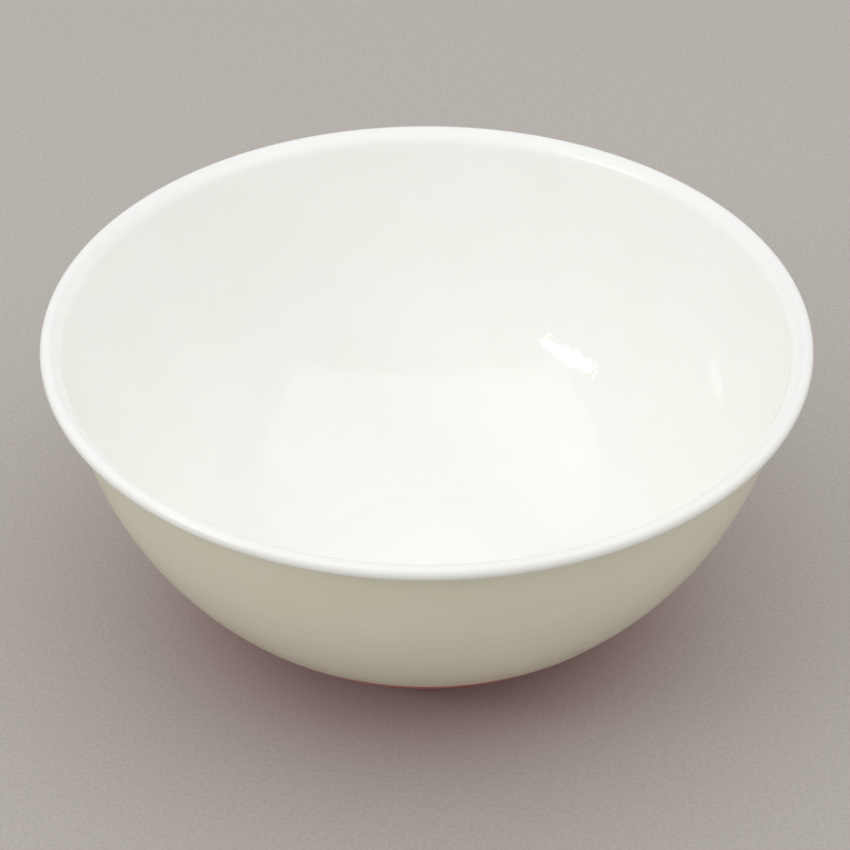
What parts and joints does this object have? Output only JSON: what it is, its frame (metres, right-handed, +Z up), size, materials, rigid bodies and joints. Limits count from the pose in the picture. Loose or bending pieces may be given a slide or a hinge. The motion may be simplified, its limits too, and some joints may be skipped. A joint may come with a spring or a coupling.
{
  "type": "salad bowl",
  "caption": "Deep round salad bowl of enamelled steel: white inside, outward rolled white lip, ivory wall and a flat red underside to stand on.",
  "frame": {"origin": "middle of the flat underside, on the surface that the bowl stands on", "axes": "+Z up along the bowl's axis, out of its mouth; +X and +Y are level and alike, because the bowl is round"},
  "size_m": [0.28, 0.28, 0.12],
  "materials": {
    "steel": "pressed sheet steel under a dark ground coat, seen only inside the curl of the lip",
    "lining_white": "glossy white fired enamel with a slight orange peel",
    "lip_white": "glossy white fired enamel",
    "outer_ivory": "glossy ivory fired enamel",
    "base_red": "glossy red fired enamel, a little rubbed on the flat"
  },
  "bodies": {
    "root": {"steel_shell": "steel", "lining_enamel": "lining_white", "lip_enamel": "lip_white", "outer_enamel": "outer_ivory", "base_enamel": "base_red"}
  },
  "joints": []
}
